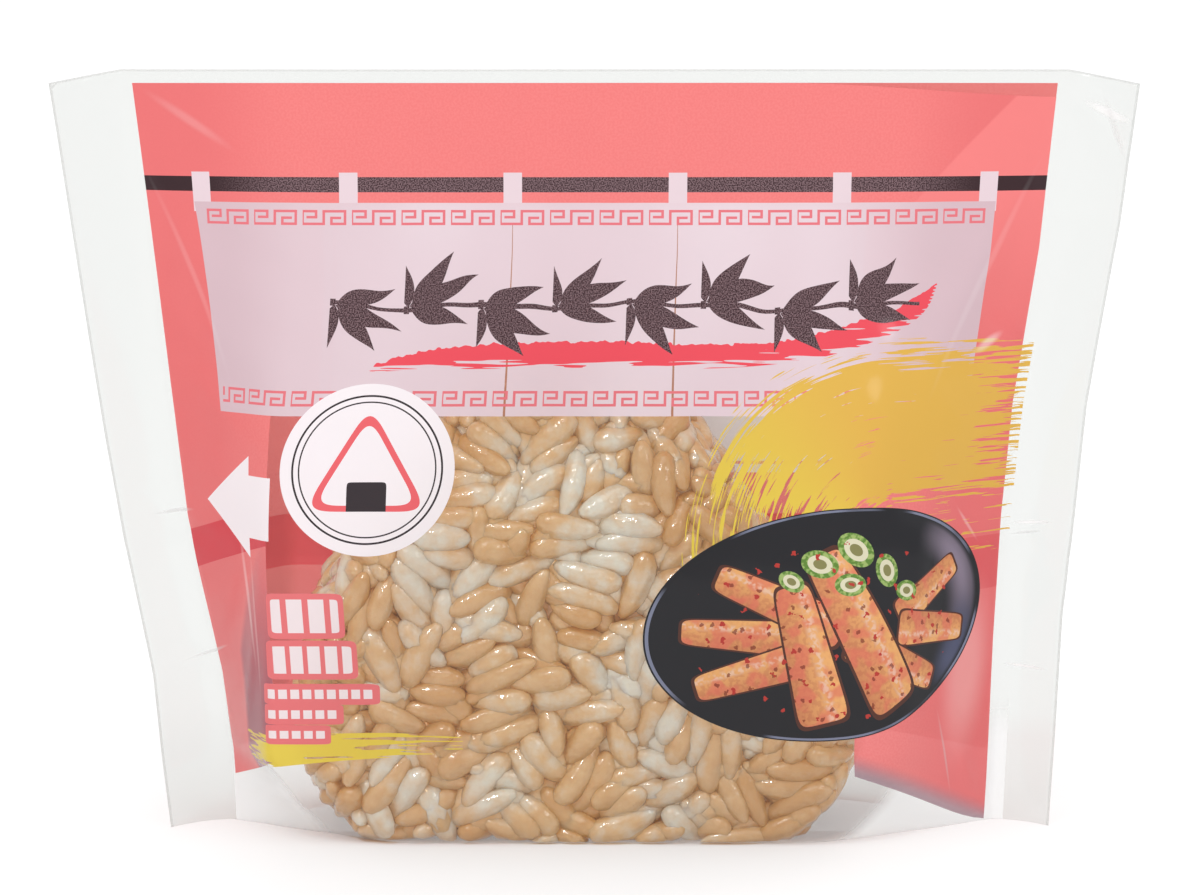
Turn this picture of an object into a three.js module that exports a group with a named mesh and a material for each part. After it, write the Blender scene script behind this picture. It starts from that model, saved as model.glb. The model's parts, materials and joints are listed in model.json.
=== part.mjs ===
// A rice ball sealed in a printed film pack, standing on its flat base.
// The film is one sheet wrapped round the ball and sealed left and right, so the pack is one
// closed solid: a wedge, thick where the ball fills it and flat at the top, with a seal fin on
// each side. Millimetres, +Z up, the shown face looks along -Y, the base lies at z = 0.

import * as THREE from 'three';

// Driving dimensions
const packHeight = 98;
const ballThickness = 36;
const shoulderHeight = 44;
const filmHalfGap = 0.4;
const baseRound = 2.5;
const finCurl = 5;
const finDroop = 1.6;

// Heights of the lap seam across the back, and how far it stands proud
const lapSeamLow = 31;
const lapSeamHigh = 38;
const lapSeamRise = 0.5;
const lapSeamBevel = 0.6;

// How softly the film turns, as a length: at the shoulder, the left fold and the right fold
const shoulderTurn = 5;
const leftTurn = 2.2;
const rightTurn = 5;

// Outlines in the front view, as [height, x]. The film is drawn in towards the base because
// the ball uses up its width, so both seals lean inwards on the way down.
const leftSeal = [[0, -47.4], [10, -47.5], [20, -48.9], [34, -52.2], [40, -53.4], [98, -60.9]];
const rightSeal = [[0, 52.0], [24, 52.9], [40, 53.8], [55, 55.3], [75, 58.7], [98, 61.2]];
const leftEdge = [[0, -54.9], [10, -56.1], [20, -57.1], [38, -60.7], [51, -62.8], [98, -69.6]];
const rightEdge = [[0, 59.2], [12, 59.9], [28, 60.6], [40, 61.9], [55, 63.4], [79, 67.4], [98, 69.6]];

// Where the film leaves the ball's flat face, left and right, as [height, x]
const leftFold = [[0, -25], [5, -35], [11, -41.5], [40, -41], [98, -41]];
const rightFold = [[0, 30], [5, 34.5], [11, 36.5], [98, 36.5]];

// How the surface is divided
const bodyColumns = 38;
const finColumns = 2;
const wallRows = 24;
const rowCrowding = 1.25;
const sectionSteps = 240;

// The value of a [height, x] outline at a height
function outlineAt(outline, height) {
  for (let i = 1; i < outline.length; i++) {
    const [lowHeight, lowX] = outline[i - 1];
    const [highHeight, highX] = outline[i];
    if (height <= highHeight) {
      return THREE.MathUtils.mapLinear(height, lowHeight, highHeight, lowX, highX);
    }
  }
  return outline[outline.length - 1][1];
}

// The smaller of two values, rounded over a length where they meet
function softMin(a, b, turn) {
  const overlap = Math.max(turn - Math.abs(a - b), 0) / turn;
  return Math.min(a, b) - (overlap * overlap * turn) / 4;
}

// How far the film stands off the pack's middle plane over the ball, at a height
function faceDepth(height) {
  const fullDepth = ballThickness / 2;
  const taper = (fullDepth * (packHeight - 1 - height)) / (packHeight - 1 - shoulderHeight);
  const wall = Math.max(softMin(fullDepth, taper, shoulderTurn), 0);
  const above = Math.max(baseRound - height, 0);
  const roundedOff = baseRound - Math.sqrt(baseRound * baseRound - above * above);
  return Math.max(wall - roundedOff, 0);
}

// The same anywhere across the pack: flat over the ball, then straight to each seal
function filmDepth(x, height) {
  const full = faceDepth(height);
  const left = outlineAt(leftSeal, height);
  const right = outlineAt(rightSeal, height);
  const leftSlope = (full * (x - left)) / (outlineAt(leftFold, height) - left);
  const rightSlope = (full * (right - x)) / (right - outlineAt(rightFold, height));
  const softest = 0.6 * full + 0.01;
  const overLeft = softMin(full, leftSlope, Math.min(leftTurn, softest));
  return Math.max(softMin(overLeft, rightSlope, Math.min(rightTurn, softest)), 0);
}

// x at even steps along the film from seal to seal, so that the folds get their share
function evenColumns(height) {
  const left = outlineAt(leftSeal, height);
  const right = outlineAt(rightSeal, height);
  const places = [left];
  const lengths = [0];
  for (let step = 1; step <= sectionSteps; step++) {
    const x = THREE.MathUtils.lerp(left, right, step / sectionSteps);
    const before = places[step - 1];
    const rise = filmDepth(x, height) - filmDepth(before, height);
    places.push(x);
    lengths.push(lengths[step - 1] + Math.hypot(x - before, rise));
  }
  const columns = [];
  let step = 1;
  for (let column = 0; column <= bodyColumns; column++) {
    const wanted = (lengths[sectionSteps] * column) / bodyColumns;
    while (step < sectionSteps && lengths[step] < wanted) step++;
    const from = lengths[step - 1];
    const to = lengths[step];
    columns.push(THREE.MathUtils.mapLinear(wanted, from, to, places[step - 1], places[step]));
  }
  return columns;
}

// Heights of the rows, from the top edge down, closer together towards the base
function rowHeights() {
  const heights = [];
  for (let row = 0; row <= wallRows; row++) {
    heights.push(packHeight * (1 - row / wallRows) ** rowCrowding);
  }
  for (const edge of [lapSeamLow, lapSeamHigh]) {
    heights.push(edge - lapSeamBevel / 2, edge + lapSeamBevel / 2);
  }
  heights.push(baseRound, baseRound * 0.3);
  return heights.sort((a, b) => b - a);
}

// How proud the lap seam makes the back, at a height
function lapSeamAt(height) {
  const fromLow = THREE.MathUtils.smoothstep(height, lapSeamLow - lapSeamBevel, lapSeamLow + lapSeamBevel);
  const fromHigh = THREE.MathUtils.smoothstep(height, lapSeamHigh - lapSeamBevel, lapSeamHigh + lapSeamBevel);
  return lapSeamRise * (fromLow - fromHigh);
}

// One row of points across the pack: left fin, body, right fin. side is -1 in front, 1 behind.
function filmRow(height, side) {
  const body = evenColumns(height);
  const points = [];
  const finPoint = (seal, edge, share) => {
    const x = THREE.MathUtils.lerp(seal, edge, share);
    const droop = finDroop * share * (height / packHeight) ** 4;
    points.push(new THREE.Vector3(x, side * filmHalfGap - finCurl * share * share, height - droop));
  };
  for (let i = finColumns; i > 0; i--) {
    finPoint(body[0], outlineAt(leftEdge, height), i / finColumns);
  }
  for (const x of body) {
    const seam = side > 0 ? lapSeamAt(height) : 0;
    const depth = filmDepth(x, height);
    const onBody = Math.min(depth, 1);
    points.push(new THREE.Vector3(x, side * (depth + filmHalfGap + seam * onBody), height));
  }
  for (let i = 1; i <= finColumns; i++) {
    finPoint(body[bodyColumns], outlineAt(rightEdge, height), i / finColumns);
  }
  return points;
}

// The closed surface: a front and a back sheet that share nothing, joined all round by strips
function packGeometry() {
  const heights = rowHeights();
  const sheets = [-1, 1].map((side) => heights.map((height) => filmRow(height, side)));
  const rows = heights.length;
  const columns = sheets[0][0].length;
  const positions = sheets.flat(2).flatMap((point) => point.toArray());
  const at = (sheet, row, column) => (sheet * rows + row) * columns + column;
  const triangles = [];
  const quad = (a, b, c, d) => triangles.push(a, b, c, a, c, d);
  for (let row = 0; row < rows - 1; row++) {
    for (let column = 0; column < columns - 1; column++) {
      quad(at(0, row, column), at(0, row + 1, column), at(0, row + 1, column + 1), at(0, row, column + 1));
      quad(at(1, row, column), at(1, row, column + 1), at(1, row + 1, column + 1), at(1, row + 1, column));
    }
    const last = columns - 1;
    quad(at(0, row, 0), at(1, row, 0), at(1, row + 1, 0), at(0, row + 1, 0));
    quad(at(0, row, last), at(0, row + 1, last), at(1, row + 1, last), at(1, row, last));
  }
  const base = rows - 1;
  for (let column = 0; column < columns - 1; column++) {
    quad(at(0, 0, column), at(0, 0, column + 1), at(1, 0, column + 1), at(1, 0, column));
    quad(at(0, base, column), at(1, base, column), at(1, base, column + 1), at(0, base, column + 1));
  }
  const geometry = new THREE.BufferGeometry();
  geometry.setAttribute('position', new THREE.Float32BufferAttribute(positions, 3));
  geometry.setIndex(triangles);
  geometry.computeVertexNormals();
  return geometry;
}

const printedFilm = new THREE.MeshStandardMaterial({ color: 0xe9807c, roughness: 0.3, metalness: 0 });

const filmPack = new THREE.Mesh(packGeometry(), printedFilm);
filmPack.name = 'film_pack';

const model = new THREE.Group();
model.add(filmPack);

export default model;
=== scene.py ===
import json
import math
import bpy
import numpy as np
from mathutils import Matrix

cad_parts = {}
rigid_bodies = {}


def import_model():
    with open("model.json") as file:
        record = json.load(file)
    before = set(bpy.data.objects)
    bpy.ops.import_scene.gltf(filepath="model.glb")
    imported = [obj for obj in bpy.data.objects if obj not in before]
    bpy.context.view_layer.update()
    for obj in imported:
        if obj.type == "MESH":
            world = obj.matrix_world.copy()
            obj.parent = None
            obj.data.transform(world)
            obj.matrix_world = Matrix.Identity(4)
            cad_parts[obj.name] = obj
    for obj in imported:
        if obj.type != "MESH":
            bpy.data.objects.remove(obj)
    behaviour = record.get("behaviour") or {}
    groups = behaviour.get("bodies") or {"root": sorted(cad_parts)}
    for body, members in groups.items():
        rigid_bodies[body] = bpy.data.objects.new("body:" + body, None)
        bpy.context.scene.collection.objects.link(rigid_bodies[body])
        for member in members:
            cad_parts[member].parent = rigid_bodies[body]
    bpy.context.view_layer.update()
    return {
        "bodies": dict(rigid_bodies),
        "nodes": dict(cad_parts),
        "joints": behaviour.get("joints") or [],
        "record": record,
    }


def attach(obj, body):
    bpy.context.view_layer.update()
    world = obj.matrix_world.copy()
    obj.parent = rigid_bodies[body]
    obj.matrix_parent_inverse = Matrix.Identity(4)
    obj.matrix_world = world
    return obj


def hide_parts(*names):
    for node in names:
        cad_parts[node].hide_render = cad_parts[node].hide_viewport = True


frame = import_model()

# Heart of the rice ball
# The ball is cooked short-grain rice, pressed by hand in a three-cornered mould with a flat
# foot. Only its outer grains can be told apart, so the heart is one lumpy mass behind them.
ball_corners = [(-0.0228, 0.0152), (0.0187, 0.0147), (0.0000, 0.0445), (-0.0060, 0.0465), (-0.0205, 0.0262)]
ball_corner_round = 0.0165
ball_half_thickness = 0.0172
ball_shoulder = 0.0405
ball_edge_round = 0.0065
ball_foot_round = 0.0012
ball_middle = np.array([-0.0015, 0.0, 0.0260])
shoulder_height = 0.044
shoulder_depth, shoulder_rise = 0.018, 0.053
shoulder_slope = math.atan2(shoulder_depth, shoulder_rise)
foot_gap = -0.0018
foot_ease = 0.005
heart_inset = 0.0031
beyond_ball, halvings = 0.06, 24


def outside_outline(flat):
    """How far (x, height) points lie outside the ball's front view."""
    corners = np.array(ball_corners)
    nearest = np.full(len(flat), np.inf)
    within = np.full(len(flat), -np.inf)
    for start, end in zip(corners, np.roll(corners, -1, axis=0)):
        edge = end - start
        along = np.clip((flat - start) @ edge / (edge @ edge), 0, 1)
        away = flat - start - along[:, None] * edge
        nearest = np.minimum(nearest, np.hypot(away[:, 0], away[:, 1]))
        outward = np.array([edge[1], -edge[0]]) / np.hypot(*edge)
        within = np.maximum(within, (flat - start) @ outward)
    return np.where(within > 0, nearest, -nearest) - ball_corner_round


def outside_ball(points):
    """How far points lie outside the ball. Its rounded edge runs out towards the foot."""
    flat = points[:, [0, 2]]
    raised = np.stack([flat[:, 0], np.maximum(flat[:, 1], flat[:, 1] / 2 + foot_ease)], axis=1)
    outline = outside_outline(raised) + ball_edge_round
    face = np.abs(points[:, 1]) - ball_half_thickness
    above = math.sin(shoulder_slope) * (points[:, 2] - ball_shoulder)
    face = np.maximum(face, math.cos(shoulder_slope) * face + above) + ball_edge_round
    rounded = np.hypot(np.maximum(outline, 0), np.maximum(face, 0))
    body = np.minimum(np.maximum(outline, face), 0) + rounded - ball_edge_round
    body = np.maximum(body, outside_outline(flat)) + ball_foot_round
    foot = foot_gap - points[:, 2] + ball_foot_round
    rounded = np.hypot(np.maximum(body, 0), np.maximum(foot, 0))
    return np.minimum(np.maximum(body, foot), 0) + rounded - ball_foot_round


def out_of_ball(points):
    """The direction straight out of the ball at each point."""
    step = 0.0002
    slopes = [outside_ball(points + step * axis) - outside_ball(points - step * axis) for axis in np.eye(3)]
    slopes = np.stack(slopes, axis=1)
    return slopes / np.maximum(np.linalg.norm(slopes, axis=1, keepdims=True), 1e-9)


def vertices_of(piece):
    """A mesh's vertex places, one row each."""
    places = np.empty(len(piece.data.vertices) * 3)
    piece.data.vertices.foreach_get("co", places)
    return places.reshape(-1, 3)


def put_vertices(piece, places):
    """Moves a mesh's vertices to these places."""
    piece.data.vertices.foreach_set("co", np.ascontiguousarray(places).ravel())
    piece.data.update()


bpy.ops.object.select_all(action="DESELECT")
bpy.ops.mesh.primitive_ico_sphere_add(subdivisions=5, radius=0.001)
rice_heart = bpy.context.object
rice_heart.name = "rice_heart"
rays = vertices_of(rice_heart)
rays = rays / np.linalg.norm(rays, axis=1, keepdims=True)
near, far = np.zeros(len(rays)), np.full(len(rays), beyond_ball)
for halving in range(halvings):
    reach = (near + far) / 2
    inside = outside_ball(ball_middle + rays * reach[:, None]) < -heart_inset
    near, far = np.where(inside, reach, near), np.where(inside, far, reach)
put_vertices(rice_heart, ball_middle + rays * near[:, None])

lumps = bpy.data.textures.new("pressed rice lumps", "CLOUDS")
lumps.noise_scale = 0.0035
pressed = rice_heart.modifiers.new("pressed lumps", "DISPLACE")
pressed.texture = lumps
pressed.texture_coords = "LOCAL"
pressed.strength = 0.0022
pressed.mid_level = 0.5
bpy.ops.object.modifier_apply(modifier="pressed lumps")
bpy.ops.object.shade_smooth()

# Grains of rice
# Cooked short-grain rice is plump, about 8 mm long, narrower at the end where the germ was and
# sticky all over. Seasoned stock has soaked into it unevenly, and white grains lie in patches.
grain_length = 0.0096
grain_width = 0.0038
grain_height = 0.0033
plumpness, germ_taper = 2.5, 0.20

# Each layer: how deep its grains lie, how many they are, how far they tilt, how far apart they stay
grain_layers = [(0.0013, 640, 0.36, 0.0026), (0.0025, 700, 0.45, 0.0026)]

# Patches of white grains in the front view: across, height and size
white_patches = [(0.001, 0.051, 0.005), (-0.009, 0.046, 0.005), (-0.020, 0.035, 0.006),
                 (0.000, 0.039, 0.006), (0.006, 0.034, 0.004), (0.007, 0.024, 0.005),
                 (0.009, 0.012, 0.006), (-0.026, 0.008, 0.005), (-0.011, 0.007, 0.004),
                 (0.011, 0.002, 0.004), (-0.034, 0.033, 0.004), (0.034, 0.018, 0.004)]
draw = np.random.default_rng(7)

bpy.ops.object.select_all(action="DESELECT")
bpy.ops.mesh.primitive_uv_sphere_add(segments=8, ring_count=8, radius=0.5, rotation=(0, math.pi / 2, 0))
grain = bpy.context.object
bpy.ops.object.transform_apply(rotation=True)
bpy.ops.object.mode_set(mode="EDIT")
bpy.ops.mesh.select_all(action="SELECT")
bpy.ops.transform.resize(value=(grain_length, grain_width, grain_height))
bpy.ops.object.mode_set(mode="OBJECT")
shape = vertices_of(grain)
share = shape[:, 0] / (grain_length / 2)
plump = np.sqrt(np.clip((1 - np.abs(share) ** plumpness) / np.maximum(1 - share ** 2, 0.05), 0.5, 1.3))
shape[:, 1:] *= (plump * (1 - germ_taper * share))[:, None]
grain_faces = [tuple(face.vertices) for face in grain.data.polygons]
bpy.data.objects.remove(grain)

# Places for the grains, layer by layer inwards: each is dropped on the ball, lying roughly the way
# its neighbours lie, and then all of them jostle until they are spread out.
bead_shares = np.array([-0.36, -0.18, 0.0, 0.18, 0.36])
drops_for_each, near_skin, within_reach = 20, 0.0012, 0.0105
jostles, list_renewed, give = 80, 8, 0.7
grains_laid = []
for layer_depth, count, most_tilt, grain_spacing in grain_layers:
    low, high = np.array([-0.042, -0.019, -0.001]), np.array([0.038, 0.019, 0.064])
    middles = low + draw.random((count * drops_for_each, 3)) * (high - low)
    middles = middles[np.abs(outside_ball(middles)) < near_skin][:count]
    x, y, z = middles.T
    swirl = [np.sin(z * 330 + 1.3) + np.sin(y * 260), np.sin(x * 300 + 0.4), np.sin(x * 270 + y * 200 + 2.1)]
    swirl = np.stack(swirl, axis=1)
    ways = swirl + 0.9 * draw.normal(size=middles.shape)
    ways[:, 2] *= np.clip(middles[:, 2] / 0.010, 0.15, 1)
    tilts = draw.uniform(-most_tilt, most_tilt, (count, 1))
    sunk = layer_depth + draw.uniform(0, 0.0014, count)
    lengths = draw.uniform(0.72, 1.06, count)
    arms = bead_shares * lengths[:, None] * grain_length
    for jostle in range(jostles + 1):
        outward = out_of_ball(middles)
        ways -= outward * np.sum(ways * outward, axis=1, keepdims=True)
        ways /= np.linalg.norm(ways, axis=1, keepdims=True)
        ways = (ways + outward * tilts) / np.sqrt(1 + tilts ** 2)
        tips = ways * (lengths * grain_length * 0.44)[:, None]
        proud = np.maximum(outside_ball(middles + tips), outside_ball(middles - tips)) + grain_height * 0.30
        middles -= outward * np.maximum(outside_ball(middles) + sunk, proud)[:, None]
        if jostle == jostles:
            break
        if jostle % list_renewed == 0:
            apart = np.linalg.norm(middles[:, None] - middles[None], axis=2)
            one, other = np.nonzero(np.triu(apart < within_reach, 1))
        beads = middles[:, None] + ways[:, None] * arms[..., None]
        between = beads[one][:, :, None] - beads[other][:, None]
        distance = np.maximum(np.linalg.norm(between, axis=3), 1e-6)
        push = between * (np.maximum(grain_spacing - distance, 0) / distance / 2)[..., None]
        moves = np.zeros_like(beads)
        np.add.at(moves, one, push.sum(axis=2))
        np.add.at(moves, other, -push.sum(axis=1))
        middles += give * moves.mean(axis=1)
        ways += give * (moves * arms[..., None]).sum(axis=1) / (arms ** 2).sum(axis=1, keepdims=True)
    grains_laid += list(zip(middles, out_of_ball(middles), ways, lengths))


def stock_soaked(places):
    """How much of the stock the rice has taken up at each place, from 0 to 1."""
    x, y, z = places[..., 0], places[..., 1], places[..., 2]
    white = np.zeros_like(x)
    for across, height, size in white_patches:
        white = np.maximum(white, np.exp(-((x - across) ** 2 + (z - height) ** 2) / size ** 2))
    behind = 0.35 + 0.35 * np.sin(x * 210) * np.cos(z * 170)
    white = np.where(y < 0, white, behind)
    cloudy = np.sin(x * 410 + z * 160) * np.sin(z * 370 - x * 130) + np.sin(x * 230 - z * 290 + y * 120)
    return 0.42 - 0.46 * white + 0.06 * cloudy


uneven_soaking, lowest_grain = 0.14, 0.0003


def join_grains(name, laid):
    """One mesh of grains, each with its own size, bend and share of the stock."""
    count = len(shape)
    places = np.empty((len(laid), count, 3))
    lucks = draw.normal(0, uneven_soaking, (len(laid), 1))
    for number, (place, out, way, length) in enumerate(laid):
        across = np.cross(out, way)
        across /= np.linalg.norm(across)
        up = np.cross(way, across)
        roll = draw.uniform(-0.6, 0.6)
        rolled = across * math.cos(roll) + up * math.sin(roll)
        up = up * math.cos(roll) - across * math.sin(roll)
        size = np.array([length, draw.uniform(0.86, 1.1), draw.uniform(0.88, 1.06)])
        own = shape * size * (-1 if draw.random() < 0.5 else 1, 1, 1)
        own[:, 1] += draw.uniform(-0.07, 0.07) * (own[:, 0] ** 2) / grain_length * 4
        own[:, 1:] *= 1 + 0.02 * np.sin(own[:, :1] / grain_length * 9 + draw.uniform(0, 6.3))
        places[number] = place + own @ np.array([way, rolled, up])
    places[..., 2] = np.maximum(places[..., 2], lowest_grain)
    firsts = range(0, len(laid) * count, count)
    faces = [tuple(first + corner for corner in face) for first in firsts for face in grain_faces]
    mesh = bpy.data.meshes.new(name)
    mesh.from_pydata(places.reshape(-1, 3), [], faces)
    soaked = mesh.attributes.new("soaked", "FLOAT", "POINT")
    soaked.data.foreach_set("value", np.clip(stock_soaked(places) + lucks, 0, 1).ravel())
    piece = bpy.data.objects.new(name, mesh)
    bpy.context.collection.objects.link(piece)
    bpy.ops.object.select_all(action="DESELECT")
    piece.select_set(True)
    bpy.context.view_layer.objects.active = piece
    bpy.ops.object.mode_set(mode="EDIT")
    bpy.ops.mesh.select_all(action="SELECT")
    bpy.ops.mesh.normals_make_consistent(inside=False)
    bpy.ops.object.mode_set(mode="OBJECT")
    bpy.ops.object.shade_smooth()
    return piece


def cooked_rice(name, colours):
    """Cooked rice: cloudy inside, so light spreads under its skin and partly through it, wet on top."""
    material = bpy.data.materials.new(name)
    material.use_nodes = True
    nodes, links = material.node_tree.nodes, material.node_tree.links
    skin = nodes["Principled BSDF"]
    skin.inputs["Subsurface Weight"].default_value = 0.4
    skin.inputs["Subsurface Radius"].default_value = (1.0, 0.84, 0.62)
    skin.inputs["Subsurface Scale"].default_value = 0.0008
    skin.inputs["Roughness"].default_value = 0.34
    skin.inputs["Coat Weight"].default_value = 1.0
    skin.inputs["Coat IOR"].default_value = 1.55
    skin.inputs["Coat Roughness"].default_value = 0.07
    where = nodes.new("ShaderNodeTexCoord")
    soaked = nodes.new("ShaderNodeAttribute")
    soaked.attribute_name = "soaked"
    cloud = nodes.new("ShaderNodeTexNoise")
    cloud.inputs["Scale"].default_value = 420
    cloud.inputs["Detail"].default_value = 3
    links.new(where.outputs["Object"], cloud.inputs["Vector"])
    share = nodes.new("ShaderNodeMath")
    share.operation = "MULTIPLY_ADD"
    share.inputs[1].default_value = 0.8
    links.new(cloud.outputs["Fac"], share.inputs[0])
    links.new(soaked.outputs["Fac"], share.inputs[2])
    colour = nodes.new("ShaderNodeValToRGB")
    stops = colour.color_ramp.elements
    stops[0].position, stops[1].position = 0.32, 1.0
    stops.new(0.68)
    for stop, tint in zip(stops, colours):
        stop.color = (*tint, 1)
    links.new(share.outputs[0], colour.inputs["Fac"])
    links.new(colour.outputs["Color"], skin.inputs["Base Color"])
    pits = nodes.new("ShaderNodeTexNoise")
    pits.inputs["Scale"].default_value = 1300
    pits.inputs["Detail"].default_value = 1
    links.new(where.outputs["Object"], pits.inputs["Vector"])
    for height, depth_of_dents, normal in ((cloud, 0.0006, "Normal"), (pits, 0.00020, "Coat Normal")):
        dents = nodes.new("ShaderNodeBump")
        dents.inputs["Strength"].default_value = 0.7
        dents.inputs["Distance"].default_value = depth_of_dents
        links.new(height.outputs["Fac"], dents.inputs["Height"])
        links.new(dents.outputs["Normal"], skin.inputs[normal])
    ray = nodes.new("ShaderNodeLightPath")
    let_through = nodes.new("ShaderNodeMath")
    let_through.operation = "MULTIPLY"
    let_through.inputs[1].default_value = 0.76
    links.new(ray.outputs["Is Diffuse Ray"], let_through.inputs[0])
    surface = skin.outputs["BSDF"]
    for share_passing, tint in ((let_through.outputs[0], (1.0, 0.86, 0.68)),
                                (ray.outputs["Is Shadow Ray"], (0.78, 0.67, 0.53))):
        clear = nodes.new("ShaderNodeBsdfTransparent")
        clear.inputs["Color"].default_value = (*tint, 1)
        seen = nodes.new("ShaderNodeMixShader")
        links.new(share_passing, seen.inputs[0])
        links.new(surface, seen.inputs[1])
        links.new(clear.outputs["BSDF"], seen.inputs[2])
        surface = seen.outputs["Shader"]
    links.new(surface, nodes["Material Output"].inputs["Surface"])
    return material


rice_grains = join_grains("rice_grains", grains_laid)
grain_colours = [(0.68, 0.62, 0.51), (0.65, 0.40, 0.185), (0.58, 0.305, 0.10)]
# The heart is coloured deeper and more saturated than the grains: painted shade for the warm gaps between the
# outer grains.
heart_colours = [(0.60, 0.34, 0.13), (0.56, 0.28, 0.09), (0.48, 0.22, 0.06)]
rice_grains.data.materials.append(cooked_rice("cooked rice", grain_colours))
rice_heart.data.materials.append(cooked_rice("pressed rice", heart_colours))
for rice in (rice_heart, rice_grains):
    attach(rice, "root")
    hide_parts("film_pack")

# Film bag
# One sheet of clear plastic film, folded round the ball, lapped across the back and welded
# down both sides, where a clear fin stands out past each weld. It is flat along its top edge.
pack_height = 0.098
face_stand_off = 0.018
base_round = 0.0025
fin_curl = 0.005
fin_droop = 0.0016
film_half_gap = 0.00008
lap_low, lap_high, lap_rise = 0.031, 0.038, 0.0003
film_width = 0.121
left_seal = [(0, -0.0474), (0.010, -0.0475), (0.020, -0.0489), (0.034, -0.0522), (0.040, -0.0534),
             (0.098, -0.0609)]
right_seal = [(0, 0.0520), (0.024, 0.0529), (0.040, 0.0538), (0.055, 0.0553), (0.075, 0.0587),
              (0.098, 0.0612)]
left_edge = [(0, -0.0549), (0.010, -0.0561), (0.020, -0.0571), (0.038, -0.0607), (0.051, -0.0628),
             (0.098, -0.0696)]
right_edge = [(0, 0.0592), (0.012, 0.0599), (0.028, 0.0606), (0.040, 0.0619), (0.055, 0.0634),
              (0.079, 0.0674), (0.098, 0.0696)]
left_fold = [(0, -0.025), (0.005, -0.035), (0.011, -0.0415), (0.040, -0.041), (0.098, -0.041)]
right_fold = [(0, 0.030), (0.005, 0.0345), (0.011, 0.0365), (0.098, 0.0365)]
body_columns = 144
fin_columns = 9
wall_rows = 120
top_seal = 0.001
shoulder_turn, left_turn, right_turn = 0.005, 0.0022, 0.005


def outline_at(outline, height):
    """The x of an outline, given as (height, x) points, at a height."""
    heights, places = zip(*outline)
    return np.interp(height, heights, places)


def soft_min(a, b, turn):
    """The smaller of two values, rounded over a length where they meet."""
    overlap = np.maximum(turn - np.abs(a - b), 0) / turn
    return np.minimum(a, b) - overlap * overlap * turn / 4


def face_depth(height):
    """How far the film stands off the middle plane over the ball."""
    height = np.asarray(height, float)
    taper = face_stand_off * (pack_height - top_seal - height) / (pack_height - top_seal - shoulder_height)
    wall = np.maximum(soft_min(face_stand_off, taper, shoulder_turn), 0)
    above = np.maximum(base_round - height, 0)
    return np.maximum(wall - base_round + np.sqrt(base_round ** 2 - above ** 2), 0)


def film_depth(x, height):
    """The same anywhere across the pack: flat over the ball, then straight to each seal."""
    full = face_depth(height)
    left, right = outline_at(left_seal, height), outline_at(right_seal, height)
    left_slope = full * (x - left) / (outline_at(left_fold, height) - left)
    right_slope = full * (right - x) / (right - outline_at(right_fold, height))
    softest = 0.6 * full + 0.00001
    over_left = soft_min(full, left_slope, np.minimum(left_turn, softest))
    return np.maximum(soft_min(over_left, right_slope, np.minimum(right_turn, softest)), 0)


# Where the film touches the rice it presses the grains flat
pressed_in = vertices_of(rice_grains)
room = np.maximum(film_depth(pressed_in[:, 0], pressed_in[:, 2]) - 0.0001, 0)
pressed_in[:, 1] = np.clip(pressed_in[:, 1], -room, room)
put_vertices(rice_grains, pressed_in)

walk = np.linspace(pack_height, 0, 2001)
walked = np.concatenate([[0], np.cumsum(np.hypot(np.diff(walk), np.diff(face_depth(walk))))])
row_down = np.linspace(0, walked[-1], wall_rows + 1)
row_heights = np.interp(row_down, walked, walk)

# Creases in the film, each from one point of the front view to another, as
# (x1, height1, x2, height2, half width, how far it stands out)
shared_creases = [(-0.058, 0.0395, -0.047, 0.0375, 0.0010, 0.0005),
                  (-0.056, 0.0215, -0.049, 0.0205, 0.0010, -0.0006),
                  (0.056, 0.0360, 0.064, 0.0345, 0.0009, 0.0005),
                  (0.012, 0.099, 0.0095, 0.080, 0.0016, -0.0003),
                  (0.063, 0.096, 0.069, 0.085, 0.0012, 0.0006)]
front_creases = [(-0.0590, 0.092, -0.046, 0.060, 0.0030, 0.0005),
                 (0.059, 0.090, 0.042, 0.058, 0.0028, 0.0006),
                 (-0.0415, 0.042, -0.0450, 0.012, 0.0006, 0.0005),
                 (-0.0425, 0.040, -0.0475, 0.022, 0.0012, -0.0005),
                 (-0.0600, 0.096, -0.054, 0.086, 0.0014, 0.0004),
                 (0.052, 0.066, 0.0575, 0.058, 0.0011, 0.0005),
                 (0.0100, 0.088, 0.0105, 0.052, 0.0014, 0.0002),
                 (0.047, 0.012, 0.050, 0.002, 0.0008, 0.0005),
                 (0.044, 0.050, 0.040, 0.022, 0.0016, 0.0004),
                 (-0.052, 0.060, -0.0435, 0.050, 0.0018, 0.0004)]
back_creases = [(-0.055, 0.090, -0.042, 0.062, 0.0026, 0.0005),
                (0.056, 0.088, 0.043, 0.060, 0.0026, 0.0005),
                (0.010, 0.092, 0.004, 0.056, 0.0016, 0.0003),
                (0.045, 0.028, 0.049, 0.006, 0.0012, 0.0005),
                (-0.043, 0.026, -0.046, 0.008, 0.0012, 0.0004)]


def crease_relief(x, height, creases):
    """How far creases push the film out at each point."""
    relief = np.zeros_like(x)
    for x1, height1, x2, height2, half_width, rise in creases:
        way = np.array([x2 - x1, height2 - height1])
        share = ((x - x1) * way[0] + (height - height1) * way[1]) / (way @ way)
        clipped = np.clip(share, 0, 1)
        away = np.hypot(x - x1 - clipped * way[0], height - height1 - clipped * way[1])
        swell = np.sin(np.pi * np.clip(share * 0.9 + 0.05, 0, 1))
        relief += rise * swell * np.exp(-(away / half_width) ** 2)
    return relief


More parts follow.
